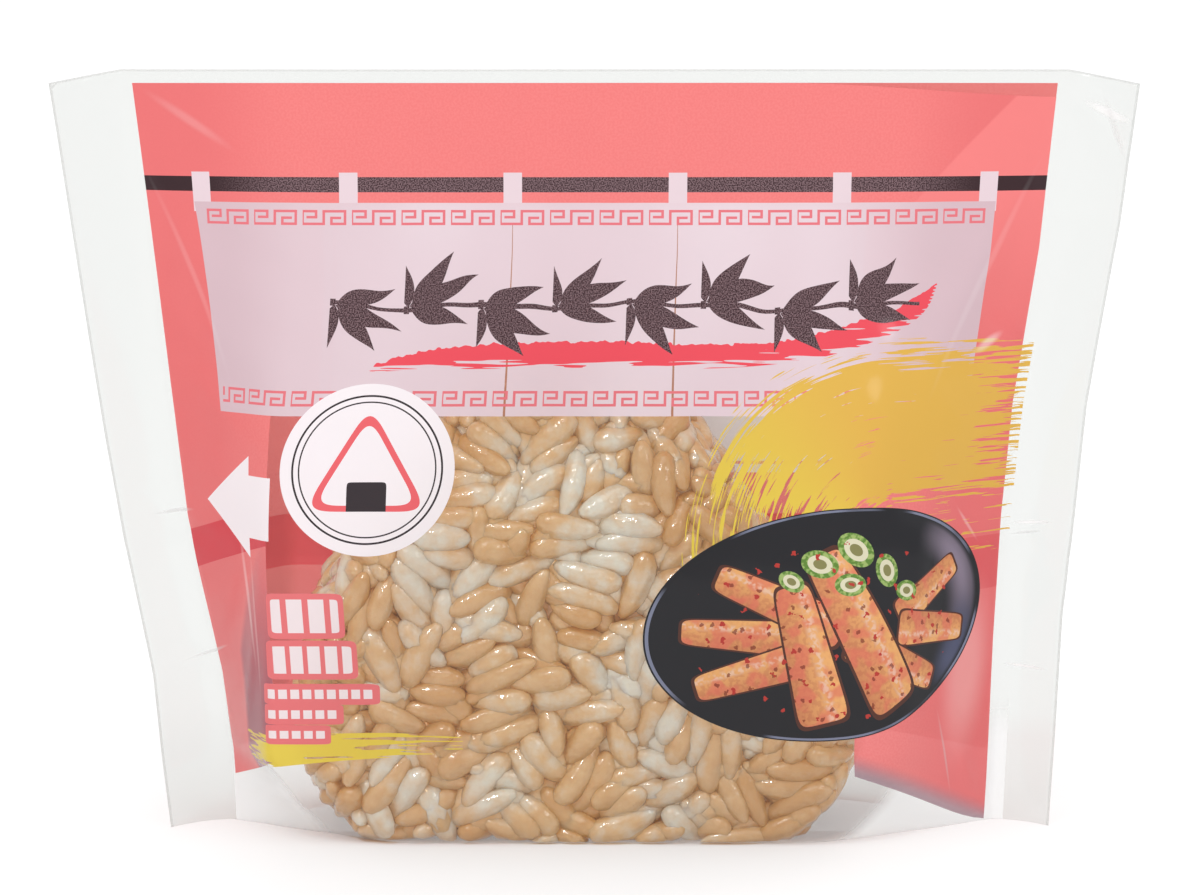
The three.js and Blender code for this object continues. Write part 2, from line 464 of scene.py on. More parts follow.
def film_sheet(name, side, creases):
    """The front sheet (side -1) or the back one (side 1), fins included, from a flat grid."""
    across = body_columns + 2 * fin_columns
    bpy.ops.object.select_all(action="DESELECT")
    bpy.ops.mesh.primitive_grid_add(x_subdivisions=across, y_subdivisions=wall_rows, size=2)
    sheet = bpy.context.object
    sheet.name = name
    flat = vertices_of(sheet)
    column = np.rint((flat[:, 0] + 1) / 2 * across).astype(int)
    row = np.rint((1 - flat[:, 1]) / 2 * wall_rows).astype(int)
    table_x = np.empty((wall_rows + 1, across + 1))
    for number, height in enumerate(row_heights):
        left, right = outline_at(left_seal, height), outline_at(right_seal, height)
        steps = np.linspace(left, right, 600)
        pieces = np.hypot(np.diff(steps), np.diff(film_depth(steps, height)))
        lengths = np.concatenate([[0], np.cumsum(pieces)])
        even = np.linspace(0, lengths[-1], body_columns + 1)
        fin = np.linspace(0, 1, fin_columns + 1)[1:]
        table_x[number] = np.concatenate([(left + (outline_at(left_edge, height) - left) * fin)[::-1],
                                          np.interp(even, lengths, steps),
                                          right + (outline_at(right_edge, height) - right) * fin])
    x, height = table_x[row, column], row_heights[row]
    past = np.maximum(fin_columns - column, column - fin_columns - body_columns)
    share = np.clip(past, 0, None) / fin_columns
    depth = film_depth(x, height)
    loose = np.clip(depth / 0.002, 0, 1)
    body_share = np.clip((column - fin_columns) / body_columns, 0, 1)
    off_face = np.clip((face_stand_off - 0.0006 - depth) / 0.003, 0, 1)
    ripple = 0.00016 * np.sin(x * 520 + height * 310) * np.sin(height * 430 - x * 150 + side)
    lap = lap_rise * loose * ((height > lap_low) & (height < lap_high)) if side > 0 else 0
    own = (crease_relief(x, height, creases) + ripple) * loose * (0.25 + 0.75 * off_face) + lap
    shared = crease_relief(x, height, shared_creases) - fin_curl * share ** 2
    shared += 0.0006 * np.sin(height * 95 + x * 20) * share
    shared += 0.00035 * np.sin(x * 62) * (height / pack_height) ** 6
    y = side * (depth + film_half_gap + own) + shared
    down = height - fin_droop * share * (height / pack_height) ** 4
    put_vertices(sheet, np.stack([x, y, np.maximum(down, 0)], axis=1))
    place = np.zeros((len(x), 3))
    seal_x = np.where(x < 0, outline_at(left_seal, height), outline_at(right_seal, height))
    fin_reach = np.abs(x - seal_x)
    place[:, 0] = (body_share - 0.5) * film_width + np.where(share > 0, np.sign(x) * fin_reach, 0)
    place[:, 1] = row_down[row]
    edge_x = np.where(x < 0, outline_at(left_edge, height), outline_at(right_edge, height))
    place[:, 2] = np.minimum(np.abs(x - edge_x), row_down[row])
    flat_place = sheet.data.attributes.new("film_place", "FLOAT_VECTOR", "POINT")
    flat_place.data.foreach_set("vector", (place * 1000).ravel())
    if side > 0:
        sheet.data.flip_normals()
    return sheet


front_sheet = film_sheet("film_bag", -1, front_creases)
back_sheet = film_sheet("film_back", 1, back_creases)

# Printing on the film
# The inks lie on the inside of the film: coral round a clear window, and a shop curtain on its
# rod. They let some light through, so what is behind the pack or in it tells on their colour.
# Every place on the print is in millimetres on the flat film: across from its middle, and down
# from its top edge.
coral, coral_light = (0.90, 0.255, 0.25), (0.92, 0.28, 0.275)
curtain_white = (0.80, 0.68, 0.73)
badge_white = (0.92, 0.87, 0.90)
border_red = (0.78, 0.19, 0.22)
dark_ink, worn_ink = (0.045, 0.022, 0.026), (0.22, 0.14, 0.155)
# The whitish colour after the clear film is a painted sheen for the creased film at the lower corners.
clear_film, painted_sheen_white = (0.908, 0.914, 0.906), (0.96, 0.985, 0.985)
coral_cover, curtain_cover, full_cover = 0.78, 0.93, 0.985
film_haze, film_gloss, glow_share, rim_width = 0.02, 0.02, 0.22, 0.28


class FilmPrint:
    """The printing on one patch of film, laid ink over ink, and the film's own gloss."""

    def __init__(self, name):
        self.material = bpy.data.materials.new(name)
        self.material.use_nodes = True
        self.nodes, self.links = self.material.node_tree.nodes, self.material.node_tree.links
        self.nodes.clear()
        self.place = self.node("Attribute", {}, attribute_name="film_place").outputs["Vector"]
        split = self.node("SeparateXYZ", {0: self.place})
        self.u, self.v, self.from_edge = split.outputs["X"], split.outputs["Y"], split.outputs["Z"]
        self.colour, self.cover = None, None

    def node(self, kind, inputs, **settings):
        """A shader node with its settings and its inputs, which are numbers, colours or sockets."""
        made = self.nodes.new("ShaderNode" + kind)
        for name, setting in settings.items():
            setattr(made, name, setting)
        for name, value in inputs.items():
            if isinstance(value, bpy.types.NodeSocket):
                self.links.new(value, made.inputs[name])
            else:
                made.inputs[name].default_value = value
        return made

    def calc(self, operation, *values):
        """A sum, product or comparison of numbers and sockets."""
        return self.node("Math", dict(enumerate(values)), operation=operation).outputs[0]

    def ramp(self, value, low, high):
        """0 below low and 1 above high, smooth between."""
        limits = {"Value": value, "From Min": low, "From Max": high}
        return self.node("MapRange", limits, interpolation_type="SMOOTHSTEP").outputs["Result"]

    def both(self, first, *others):
        """1 where every mask is."""
        for mask in others:
            first = self.calc("MULTIPLY", first, mask)
        return first

    def either(self, first, *others):
        """1 where any mask is."""
        for mask in others:
            first = self.calc("MAXIMUM", first, mask)
        return first

    def outside(self, mask):
        """1 where the mask is 0."""
        return self.calc("SUBTRACT", 1.0, mask)

    def between(self, value, low, high):
        """1 where the value lies between two limits, which may be sockets."""
        return self.both(self.calc("GREATER_THAN", value, low), self.calc("LESS_THAN", value, high))

    def own_place(self, middle, half_size, turn=0, place=None):
        """The place seen from a shape's middle, in half sizes, the shape turned by degrees."""
        frame = {"Vector": place or self.place, "Location": (*middle, 0), "Scale": (*half_size, 1),
                 "Rotation": (0, 0, math.radians(turn))}
        seen = self.node("Mapping", frame, vector_type="TEXTURE").outputs["Vector"]
        flat = self.node("VectorMath", {0: seen, 1: (1, 1, 0)}, operation="MULTIPLY").outputs[0]
        return flat

    def ellipse(self, middle, half_size, turn=0):
        """How far out in an ellipse: 0 at its middle, 1 on its edge."""
        seen = self.own_place(middle, half_size, turn)
        return self.node("VectorMath", {0: seen}, operation="LENGTH").outputs["Value"]

    def disc(self, middle, half_size, turn=0):
        """1 inside an ellipse."""
        return self.calc("LESS_THAN", self.ellipse(middle, half_size, turn), 1.0)

    def bar(self, middle, half_size, turn=0, squareness=8, place=None):
        """1 inside a bar with softened corners."""
        seen = self.node("SeparateXYZ", {0: self.own_place(middle, half_size, turn, place)})
        along = self.calc("POWER", self.calc("ABSOLUTE", seen.outputs["X"]), squareness)
        across = self.calc("POWER", self.calc("ABSOLUTE", seen.outputs["Y"]), squareness)
        return self.calc("LESS_THAN", self.calc("ADD", along, across), 1.0)

    def leaf(self, middle, half_size, turn=0, place=None):
        """1 inside a leaf, widest near its stalk and drawn out to a point."""
        seen = self.node("SeparateXYZ", {0: self.own_place(middle, half_size, turn, place)})
        along, across = seen.outputs["X"], self.calc("ABSOLUTE", seen.outputs["Y"])
        belly = self.calc("SUBTRACT", 1.0, self.calc("POWER", self.calc("ABSOLUTE", along), 2.0))
        drawn_out = self.calc("MAXIMUM", self.calc("MULTIPLY_ADD", along, -0.5, 0.9), 0.1)
        return self.calc("LESS_THAN", across, self.calc("MULTIPLY", belly, drawn_out))

    def grain(self, scale, across=1.0, down=1.0, place=None):
        """Even noise over the film, finer with a larger scale, drawn out where a factor is small."""
        stretch = {0: place or self.place, 1: (across, down, 1)}
        drawn = self.node("VectorMath", stretch, operation="MULTIPLY").outputs[0]
        fine = {"Vector": drawn, "Scale": scale, "Detail": 1.0}
        return self.node("TexNoise", fine, noise_dimensions="2D").outputs["Fac"]

    def mixed(self, share, first, second):
        """A blend of two colours."""
        if not isinstance(first, bpy.types.NodeSocket):
            first = (*first, 1)
        if not isinstance(second, bpy.types.NodeSocket):
            second = (*second, 1)
        return self.node("Mix", {0: share, 6: first, 7: second}, data_type="RGBA").outputs[2]

    def ink(self, mask, colour, cover):
        """Prints a colour over what is there, where the mask is 1."""
        self.colour = self.mixed(mask, self.colour or clear_film, colour)
        self.cover = self.node("Mix", {0: mask, 2: self.cover or 0.0, 3: cover}).outputs[0]

    def finish(self, light_through):
        """Ink and clear film together: body colour, what shows through, gloss and light let by."""
        rim = self.calc("LESS_THAN", self.from_edge, rim_width)
        self.ink(self.calc("MULTIPLY", rim, 0.35), (0.62, 0.63, 0.62), 0.4)
        depth = self.mixed(self.cover, (1, 1, 1), self.colour)
        tint = self.node("VectorMath", {0: depth, 1: self.mixed(self.cover, clear_film, self.colour)},
                         operation="MULTIPLY").outputs[0]
        through = self.node("BsdfTransparent", {"Color": tint}).outputs[0]
        lit = self.node("BsdfDiffuse", {"Color": self.colour}).outputs[0]
        glow = self.node("BsdfTranslucent", {"Color": self.colour}).outputs[0]
        body = self.node("MixShader", {0: glow_share, 1: lit, 2: glow}).outputs[0]
        solid = self.calc("MULTIPLY_ADD", self.cover, 1 - film_haze, film_haze)
        seen = self.node("MixShader", {0: solid, 1: through, 2: body}).outputs[0]
        slant = self.node("LayerWeight", {"Blend": 0.5}).outputs["Facing"]
        shine = self.calc("MULTIPLY_ADD", self.calc("POWER", slant, 5.0), 0.85, film_gloss)
        gloss = self.node("BsdfGlossy", {"Roughness": 0.12}).outputs[0]
        surface = self.node("MixShader", {0: shine, 1: seen, 2: gloss}).outputs[0]
        ray = self.node("LightPath", {})
        passing = self.calc("MAXIMUM", ray.outputs["Is Shadow Ray"], ray.outputs["Is Diffuse Ray"])
        scattered = self.node("BsdfTransparent", {"Color": (*light_through, 1)}).outputs[0]
        surface = self.node("MixShader", {0: passing, 1: surface, 2: scattered}).outputs[0]
        self.node("OutputMaterial", {"Surface": surface})
        return self.material


# Kinks painted as lines: grey ones are painted shade in the creases, pale ones painted highlights and lighter
# facets. Each runs from one (u, v) to another, with its half width, its tone and how strongly it shows
painted_kink_lines = [((-64.5, 60.2), (-57.0, 59.3), 0.35, 0.70, 0.5),
              ((-65.0, 79.5), (-54.0, 76.6), 0.30, 0.70, 0.45),
              ((-46.6, 59.0), (-44.6, 80.0), 0.60, 0.98, 0.28),
              ((-44.2, 62.0), (-43.6, 84.0), 0.45, 0.98, 0.20),
              ((60.6, 61.5), (66.5, 61.0), 0.28, 1.0, 0.8),
              ((60.6, 63.0), (65.5, 62.2), 0.20, 0.72, 0.5),
              ((60.8, 80.0), (67.0, 80.4), 0.28, 1.0, 0.8), ((62.0, 3.5), (69.5, 6.0), 0.9, 1.0, 0.75),
              ((64.5, 1.0), (68.8, 12.0), 0.5, 0.80, 0.35),
              ((51.2, 38.4), (56.0, 35.2), 0.95, 0.95, 0.40),
              ((47.5, 83.5), (52.0, 97.0), 0.30, 0.60, 0.35),
              ((50.0, 58.0), (55.0, 63.5), 0.35, 0.95, 0.25),
              ((-59.5, 12.0), (-47.0, 44.0), 0.6, 0.95, 0.10),
              ((-58.6, 2.2), (-46.0, 11.4), 0.9, 0.95, 0.12),
              ((59.0, 10.0), (44.0, 46.0), 0.7, 0.95, 0.10)]

# Coral field
# The film's main ink, coral all over but for a clear window over the rice, cut square at the left,
# the right and the top. Low down it ends in a slanting edge at each side.
pink_half_width, pink_top, pink_bottom = 59.2, 1.8, 94.4
window_left, window_right, window_top = -40.5, 33.5, 45.6
lap_top_v, lap_bottom_v = 62.7, 69.7


def coral_field(film):
    """The coral and its window, thinner low down, with painted shade: a deeper tone towards the seals, where
    the film turns away from the light.
    """
    u, v = film.u, film.v
    slope = film.calc("MULTIPLY_ADD", u, 0.371, 79.2)
    left_bottom = film.calc("MULTIPLY_ADD", u, -0.25, pink_bottom - 0.25 * pink_half_width)
    field_bottom = film.either(slope, film.calc("MULTIPLY", film.calc("LESS_THAN", u, 0.0), left_bottom))
    field_top = film.calc("MULTIPLY_ADD", film.ramp(u, 24.0, 62.0), 1.9, pink_top)
    field = film.between(u, -pink_half_width, pink_half_width)
    field = film.both(field, film.between(v, field_top, field_bottom))
    window = film.both(film.between(u, window_left, window_right), film.calc("GREATER_THAN", v, window_top))
    field = film.both(field, film.outside(window))
    mottle = film.ramp(film.grain(3.2), 0.3, 0.7)
    film.ink(field, film.mixed(mottle, coral, coral_light), coral_cover)
    # Painted shade: the coral is printed deeper towards both seals.
    painted_shade_beside_seal = film.ramp(film.calc("ABSOLUTE", u), 38.0, 52.0)
    film.ink(film.both(painted_shade_beside_seal, field, 0.8), (0.84, 0.21, 0.215), coral_cover)
    return field, field_bottom


def painted_light_corner_facet(film, field):
    """Painted light: a lighter flat facet runs down from the upper right corner, where the film is drawn
    tight and catches more light.
    """
    slant = film.calc("MULTIPLY_ADD", film.v, 0.88, film.u)
    facet = film.both(film.ramp(slant, 56.9, 57.5), film.ramp(film.v, 44.0, 10.0))
    film.ink(film.both(facet, field, 0.8), (0.95, 0.30, 0.295), coral_cover)


def lap_shade(film, field):
    """Painted shade: the coral is printed deeper where the film behind it is lapped, for the doubled ink and
    the shade seen through it, less so towards the right. At the left it rises to the fold.
    """
    at_left = film.calc("LESS_THAN", film.u, 0.0)
    rise = film.both(at_left, film.calc("MULTIPLY_ADD", film.u, 0.26, 15.9))
    lap_top = film.calc("SUBTRACT", lap_top_v, rise)
    lap_bottom = film.calc("MULTIPLY_ADD", at_left, -2.1, film.calc("SUBTRACT", lap_bottom_v, rise))
    lap = film.both(field, film.between(film.v, lap_top, lap_bottom))
    film.ink(film.both(lap, film.calc("MULTIPLY_ADD", film.u, -0.0048, 0.76)), (0.71, 0.075, 0.095), 0.87)


def painted_shade_at_left(film, field):
    """Painted shade: low at the left the coral is mixed towards mauve beside the window, for the shaded
    inside of the bag seen through it.
    """
    slant = film.calc("MULTIPLY_ADD", film.v, -0.56, -7.4)
    inner = film.ramp(film.calc("SUBTRACT", film.u, film.either(slant, -50.4)), -0.4, 1.4)
    low = film.ramp(film.v, 56.0, 88.0)
    film.ink(film.both(field, inner, film.calc("LESS_THAN", film.u, -20.0), low), (0.46, 0.20, 0.25), 0.55)


def painted_shade_and_gleam_at_right(film, field, field_bottom):
    """Painted shade and a painted highlight: along its lower right edge the coral fades through mauve, and a
    pale painted gleam lies on the coral low at the right.
    """
    edge = film.ramp(film.calc("SUBTRACT", field_bottom, film.v), 3.4, 0.0)
    film.ink(film.both(edge, field), (0.40, 0.24, 0.30), 0.40)
    # Painted highlight: a soft pale gleam on the coral.
    gleam = film.ramp(film.ellipse((53.5, 80.0), (6.0, 14.0), 8), 1.0, 0.2)
    film.ink(film.both(gleam, field, 0.7), (0.95, 0.50, 0.49), coral_cover)


def painted_kink_shade_and_light(film, first_u, last_u, first_v, last_v):
    """Thin painted lines along each kink in a patch: the greyer ones are painted shade in creases, the paler
    ones painted highlights and lighter facets.
    """
    for (start_u, start_v), (end_u, end_v), half_width, shade, strength in painted_kink_lines:
        if min(start_u, end_u) > last_u or max(start_u, end_u) < first_u:
            continue
        if min(start_v, end_v) > last_v or max(start_v, end_v) < first_v:
            continue
        way_u, way_v = end_u - start_u, end_v - start_v
        length = math.hypot(way_u, way_v)
        turn = math.degrees(math.atan2(way_v, way_u))
        middle = ((start_u + end_u) / 2, (start_v + end_v) / 2)
        line = film.ramp(film.ellipse(middle, (length / 2, half_width), turn), 1.0, 0.2)
        film.ink(film.calc("MULTIPLY", line, strength), (shade, shade, shade), full_cover)


def painted_sheen_corner(film, side, edge, lean):
    """Painted sheen: outside the ball's foot the creased film is painted whitish for the light its creases
    catch, past an edge that leans out.

    side is -1 at the left and 1 at the right.
    """
    out = film.calc("MULTIPLY_ADD", film.v, lean, film.calc("MULTIPLY", film.u, side))
    beside = film.ramp(out, edge, edge + 5.0)
    low = film.ramp(film.v, 84.0, 90.0)
    film.ink(film.both(beside, low), painted_sheen_white, 0.90)


# Curtain on its rod
# A dark rod, worn and grainy along its middle, six loops, and a white shop curtain that is a
# little narrower towards its hem and is split in three.
rod_top, rod_bottom, loop_top, loop_bottom = 14.3, 16.3, 13.7, 19.0
loop_half_width = 1.2
loop_middles = (-51.5, -32.0, -10.7, 10.7, 32.0, 51.4)
curtain_top, curtain_bottom = 17.7, 45.6
split_top, split_places = 20.6, (-10.7, 10.7)


def rod_and_loops(film):
    """The rod and the curtain's loops over it."""
    rod = film.between(film.u, -pink_half_width, pink_half_width)
    rod = film.both(rod, film.between(film.v, rod_top, rod_bottom))
    from_middle = film.calc("ABSOLUTE", film.u)
    worn = film.both(film.ramp(film.grain(6.0), 0.40, 0.60), film.ramp(from_middle, 51.0, 40.0))
    film.ink(rod, film.mixed(worn, dark_ink, worn_ink), full_cover)
    loops = [film.calc("COMPARE", film.u, middle, loop_half_width) for middle in loop_middles]
    loops = film.both(film.either(*loops), film.between(film.v, loop_top, loop_bottom))
    film.ink(loops, curtain_white, curtain_cover)


def curtain_cloth(film):
    """The curtain with its splits, in which the film is clear, and painted shade towards its outer ends."""
    u, v = film.u, film.v
    drop = film.calc("SUBTRACT", v, curtain_top)
    left_side = film.calc("MULTIPLY_ADD", drop, 0.104, -52.6)
    right_side = film.calc("MULTIPLY_ADD", drop, -0.036, 52.5)
    curtain = film.both(film.between(u, left_side, right_side), film.between(v, curtain_top, curtain_bottom))
    folds = film.ramp(film.grain(0.05, 1.0, 0.35), 0.3, 0.7)
    film.ink(curtain, film.mixed(folds, curtain_white, (0.76, 0.62, 0.67)), curtain_cover)
    # Painted shade: the curtain is darker towards its outer ends, where the film turns away from the light.
    outer = film.ramp(film.calc("ABSOLUTE", u), 26.0, 50.0)
    film.ink(film.both(curtain, outer), (0.68, 0.52, 0.57), curtain_cover)
    gape = film.calc("MULTIPLY_ADD", film.calc("SUBTRACT", v, split_top), 0.0045, 0.04)
    beside = [film.calc("ABSOLUTE", film.calc("SUBTRACT", u, middle)) for middle in split_places]
    nearest = film.calc("MINIMUM", *beside)
    split = film.both(film.calc("LESS_THAN", nearest, gape), film.between(v, split_top, curtain_bottom))
    film.ink(split, (0.55, 0.28, 0.19), 0.6)
    return curtain


# Borders of the curtain
# A square spiral and the same turned half round, over and over, in one thin red line. One border
# lies under the rod and one above the hem.
pair_pitch, pair_width, pair_height, line_half = 6.42, 5.52, 1.67, 0.17
border_start, border_end = -50.8, 51.6
hook_in, hook_far, hook_low = 0.67, 1.76, 0.79


def spiral_border(film, curtain, border_top, start):
    """One border, whose upper line lies at border_top."""
    step = film.calc("MODULO", film.calc("SUBTRACT", film.u, border_start), pair_pitch)
    down = film.calc("SUBTRACT", film.v, border_top)
    late = film.calc("GREATER_THAN", step, pair_width / 2)
    turned = film.calc("MULTIPLY_ADD", late, -2.0, 1.0)
    from_middle = film.calc("ABSOLUTE", film.calc("SUBTRACT", step, pair_width / 2))
    step = film.calc("SUBTRACT", pair_width / 2, from_middle)
    down = film.calc("MULTIPLY_ADD", film.calc("SUBTRACT", down, pair_height / 2), turned, pair_height / 2)

    def level_line(first, last, height):
        level = film.calc("COMPARE", down, height, line_half)
        return film.both(level, film.between(step, first - line_half, last + line_half))

    def upright_line(where, top, bottom):
        upright = film.calc("COMPARE", step, where, line_half)
        return film.both(upright, film.between(down, top - line_half, bottom + line_half))

    spiral = film.either(level_line(0, hook_far, 0), upright_line(0, 0, pair_height),
                         upright_line(hook_far, 0, hook_low), level_line(hook_in, hook_far, hook_low),
                         level_line(0, pair_width / 2, pair_height),
                         upright_line(pair_width / 2, 0, pair_height))
    spiral = film.both(spiral, film.between(film.u, start, border_end), curtain)
    film.ink(spiral, border_red, full_cover)


# Drawing on the curtain
# A bamboo spray in brush and ink, over one long dry stroke of red. The stroke's two edges are
# given as (share of its length, height) and each leaf as (middle, half size, turn) at its knot.
stroke_left, stroke_right = -29.0, 45.2
upper_edge = [(0.0, 39.6), (0.10, 37.2), (0.18, 36.4), (0.40, 35.9), (0.66, 36.2), (0.86, 33.3), (1.0, 28.4)]
lower_edge = [(0.0, 39.9), (0.10, 39.6), (0.18, 39.5), (0.40, 39.3), (0.66, 39.2), (0.86, 36.6), (1.0, 28.6)]
edge_low, edge_span = 28.0, 12.0
spray_left, spray_right, stem_v, knot_pitch = -34.0, 42.8, 31.2, 9.6
leaves_at_a_knot = (((5.1, 1.75), (4.6, 1.35), 17), ((3.6, 3.25), (4.0, 1.35), 50),
                    ((4.7, -1.35), (3.9, 1.2), -19), ((0.2, 3.1), (2.8, 0.95), 98))


def red_stroke(film):
    """The red brush stroke, with a rough upper edge and dry streaks along the lower one."""
    share = film.calc("DIVIDE", film.calc("SUBTRACT", film.u, stroke_left), stroke_right - stroke_left)
    edges = []
    for points in (upper_edge, lower_edge):
        made = film.node("FloatCurve", {"Value": share})
        curve = made.mapping.curves[0]
        for at, height in points[1:-1]:
            curve.points.new(at, (height - edge_low) / edge_span)
        curve.points[0].location = (0, (points[0][1] - edge_low) / edge_span)
        curve.points[-1].location = (1, (points[-1][1] - edge_low) / edge_span)
        made.mapping.update()
        edges.append(film.calc("MULTIPLY_ADD", made.outputs[0], edge_span, edge_low))
    rough = film.calc("MULTIPLY_ADD", film.grain(0.9), 0.9, -0.45)
    dryness = film.ramp(film.calc("SUBTRACT", edges[1], film.v), 1.9, 0.0)
    streaks = film.grain(2.2, 0.05, 1.0)
    wet = film.calc("GREATER_THAN", streaks, film.calc("MULTIPLY_ADD", dryness, 0.36, 0.20))
    body = film.between(film.v, film.calc("ADD", edges[0], rough), edges[1])
    stroke = film.both(body, film.between(film.u, stroke_left, stroke_right), wet)
    film.ink(stroke, (0.83, 0.085, 0.115), full_cover)


def bamboo_spray(film):
    """A stem whose knots carry four leaves each, upwards and downwards in turn."""
    from_start = film.calc("SUBTRACT", film.u, spray_left)
    knot = film.calc("FLOOR", film.calc("DIVIDE", from_start, knot_pitch))
    side = film.calc("MULTIPLY_ADD", film.calc("MODULO", knot, 2.0), -2.0, 1.0)
    bend = film.calc("MULTIPLY_ADD", film.grain(0.10), 3.0, stem_v - 1.5)
    off_stem = film.calc("MULTIPLY", film.calc("SUBTRACT", film.v, bend), side)
    from_knot = film.calc("SUBTRACT", from_start, film.calc("MULTIPLY", knot, knot_pitch))
    seen = film.node("CombineXYZ", {0: from_knot, 1: off_stem}).outputs[0]
    leaves = [film.leaf(middle, half_size, turn, seen) for middle, half_size, turn in leaves_at_a_knot]
    thick = film.calc("MULTIPLY_ADD", film.calc("LESS_THAN", from_knot, 0.7), 0.22, 0.28)
    stem = film.calc("LESS_THAN", film.calc("ABSOLUTE", off_stem), thick)
    spray = film.both(film.either(stem, *leaves), film.between(film.u, spray_left, spray_right))
    worn = film.ramp(film.grain(6.0), 0.42, 0.62)
    film.ink(spray, film.mixed(worn, dark_ink, worn_ink), full_cover)


# Yellow brush sweep
# One broad stroke of yellow that the dish lies on. It rises at the left in an arc and runs out in
# bristle marks at the right seal.
sweep_middle, sweep_outer = (39.0, 63.0), 26.5


def yellow_sweep(film):
    """The sweep, seen along its bristles: how far along its arc, and how far out from its middle."""
    west = film.calc("MINIMUM", film.calc("SUBTRACT", film.u, sweep_middle[0]), 0.0)
    east = film.calc("MAXIMUM", film.calc("SUBTRACT", film.u, sweep_middle[0]), 0.0)
    north = film.calc("SUBTRACT", sweep_middle[1], film.v)
    arm = film.node("CombineXYZ", {0: west, 1: north}).outputs[0]
    out = film.node("VectorMath", {0: arm}, operation="LENGTH").outputs["Value"]
    along = film.calc("MULTIPLY_ADD", film.calc("ARCTAN2", west, north), 24.0, east)
    bristles = film.node("CombineXYZ", {0: along, 1: out}).outputs[0]
    marks = film.grain(1.9, 0.05, 1.0, bristles)
    fine_marks = film.grain(5.5, 0.03, 1.0, bristles)
    wear = film.either(film.ramp(along, 9.0, 30.0), film.ramp(along, -15.0, -40.0),
                       film.ramp(out, 21.5, 27.5), film.ramp(out, 9.5, 5.0))
    loaded = film.calc("MULTIPLY_ADD", wear, -0.50, film.calc("MULTIPLY_ADD", fine_marks, 0.60, 0.06))
    painted = film.calc("GREATER_THAN", film.calc("ADD", marks, loaded), 0.56)
    area = film.both(film.calc("LESS_THAN", film.u, 60.9), film.calc("GREATER_THAN", north, -2.0),
                     film.calc("LESS_THAN", out, sweep_outer + 0.8))
    gold = film.mixed(film.ramp(along, -34.0, -6.0), (0.79, 0.62, 0.085), (0.77, 0.48, 0.09))
    film.ink(film.both(painted, area), gold, 0.94)


def seal_dots(film):
    """A row of small pricks down the right seal."""
    pricks = film.calc("COMPARE", film.calc("MODULO", film.v, 1.35), 0.6, 0.22)
    there = film.both(film.calc("GREATER_THAN", film.grain(0.6), 0.5), film.calc("LESS_THAN", film.v, 58.0))
    film.ink(film.both(film.calc("COMPARE", film.u, 61.6, 0.12), pricks, there, 0.7), (0.50, 0.50, 0.49), 0.5)


# Dish
# A dark glossy oval dish of bamboo shoots in red oil, with sliced onion greens and chilli flakes.
# Strips are (across, down, half length, half width, turn), rings (across, down, size, turn).
dish_middle, dish_half, dish_turn = (31.2, 72.2), (24.7, 14.7), -7
shoots = ((45.0, 68.5, 6.0, 2.2, 150), (46.0, 73.5, 6.2, 2.3, 186), (39.5, 77.2, 7.4, 2.4, 203),
          (19.0, 73.5, 7.5, 2.3, 4), (21.0, 78.2, 8.0, 2.4, -16), (24.0, 69.5, 8.5, 2.6, 24),
          (34.5, 73.0, 11.0, 3.7, 62), (27.5, 76.0, 9.0, 3.3, 76))
onion_rings = ((29.0, 64.4, 2.4, 15), (33.6, 62.6, 2.6, 40), (37.8, 65.4, 2.2, 70), (32.8, 67.0, 2.0, 0),
               (25.4, 66.6, 1.7, 30), (41.0, 68.2, 1.8, 10))


def dark_dish(film):
    """The dish, with a pale gleam along its upper right rim and a thin lighter lip."""
    out = film.ellipse(dish_middle, dish_half, dish_turn)
    dish = film.calc("LESS_THAN", out, 1.0)
    film.ink(dish, (0.024, 0.024, 0.028), full_cover)
    gleam = film.both(film.ramp(out, 0.70, 0.90), film.ramp(out, 0.975, 0.93))
    near = film.ramp(film.ellipse((49.5, 67.0), (6.5, 10.0), -22), 1.0, 0.15)
    film.ink(film.both(gleam, near), (0.30, 0.25, 0.33), full_cover)
    low = film.ramp(film.ellipse((50.5, 76.0), (4.5, 8.0), 20), 1.0, 0.2)
    film.ink(film.both(gleam, low), (0.09, 0.10, 0.17), full_cover)
    lip = film.both(film.between(out, 0.972, 0.99), film.ramp(film.grain(0.10), 0.36, 0.55))
    film.ink(lip, (0.22, 0.24, 0.34), full_cover)
    return dish


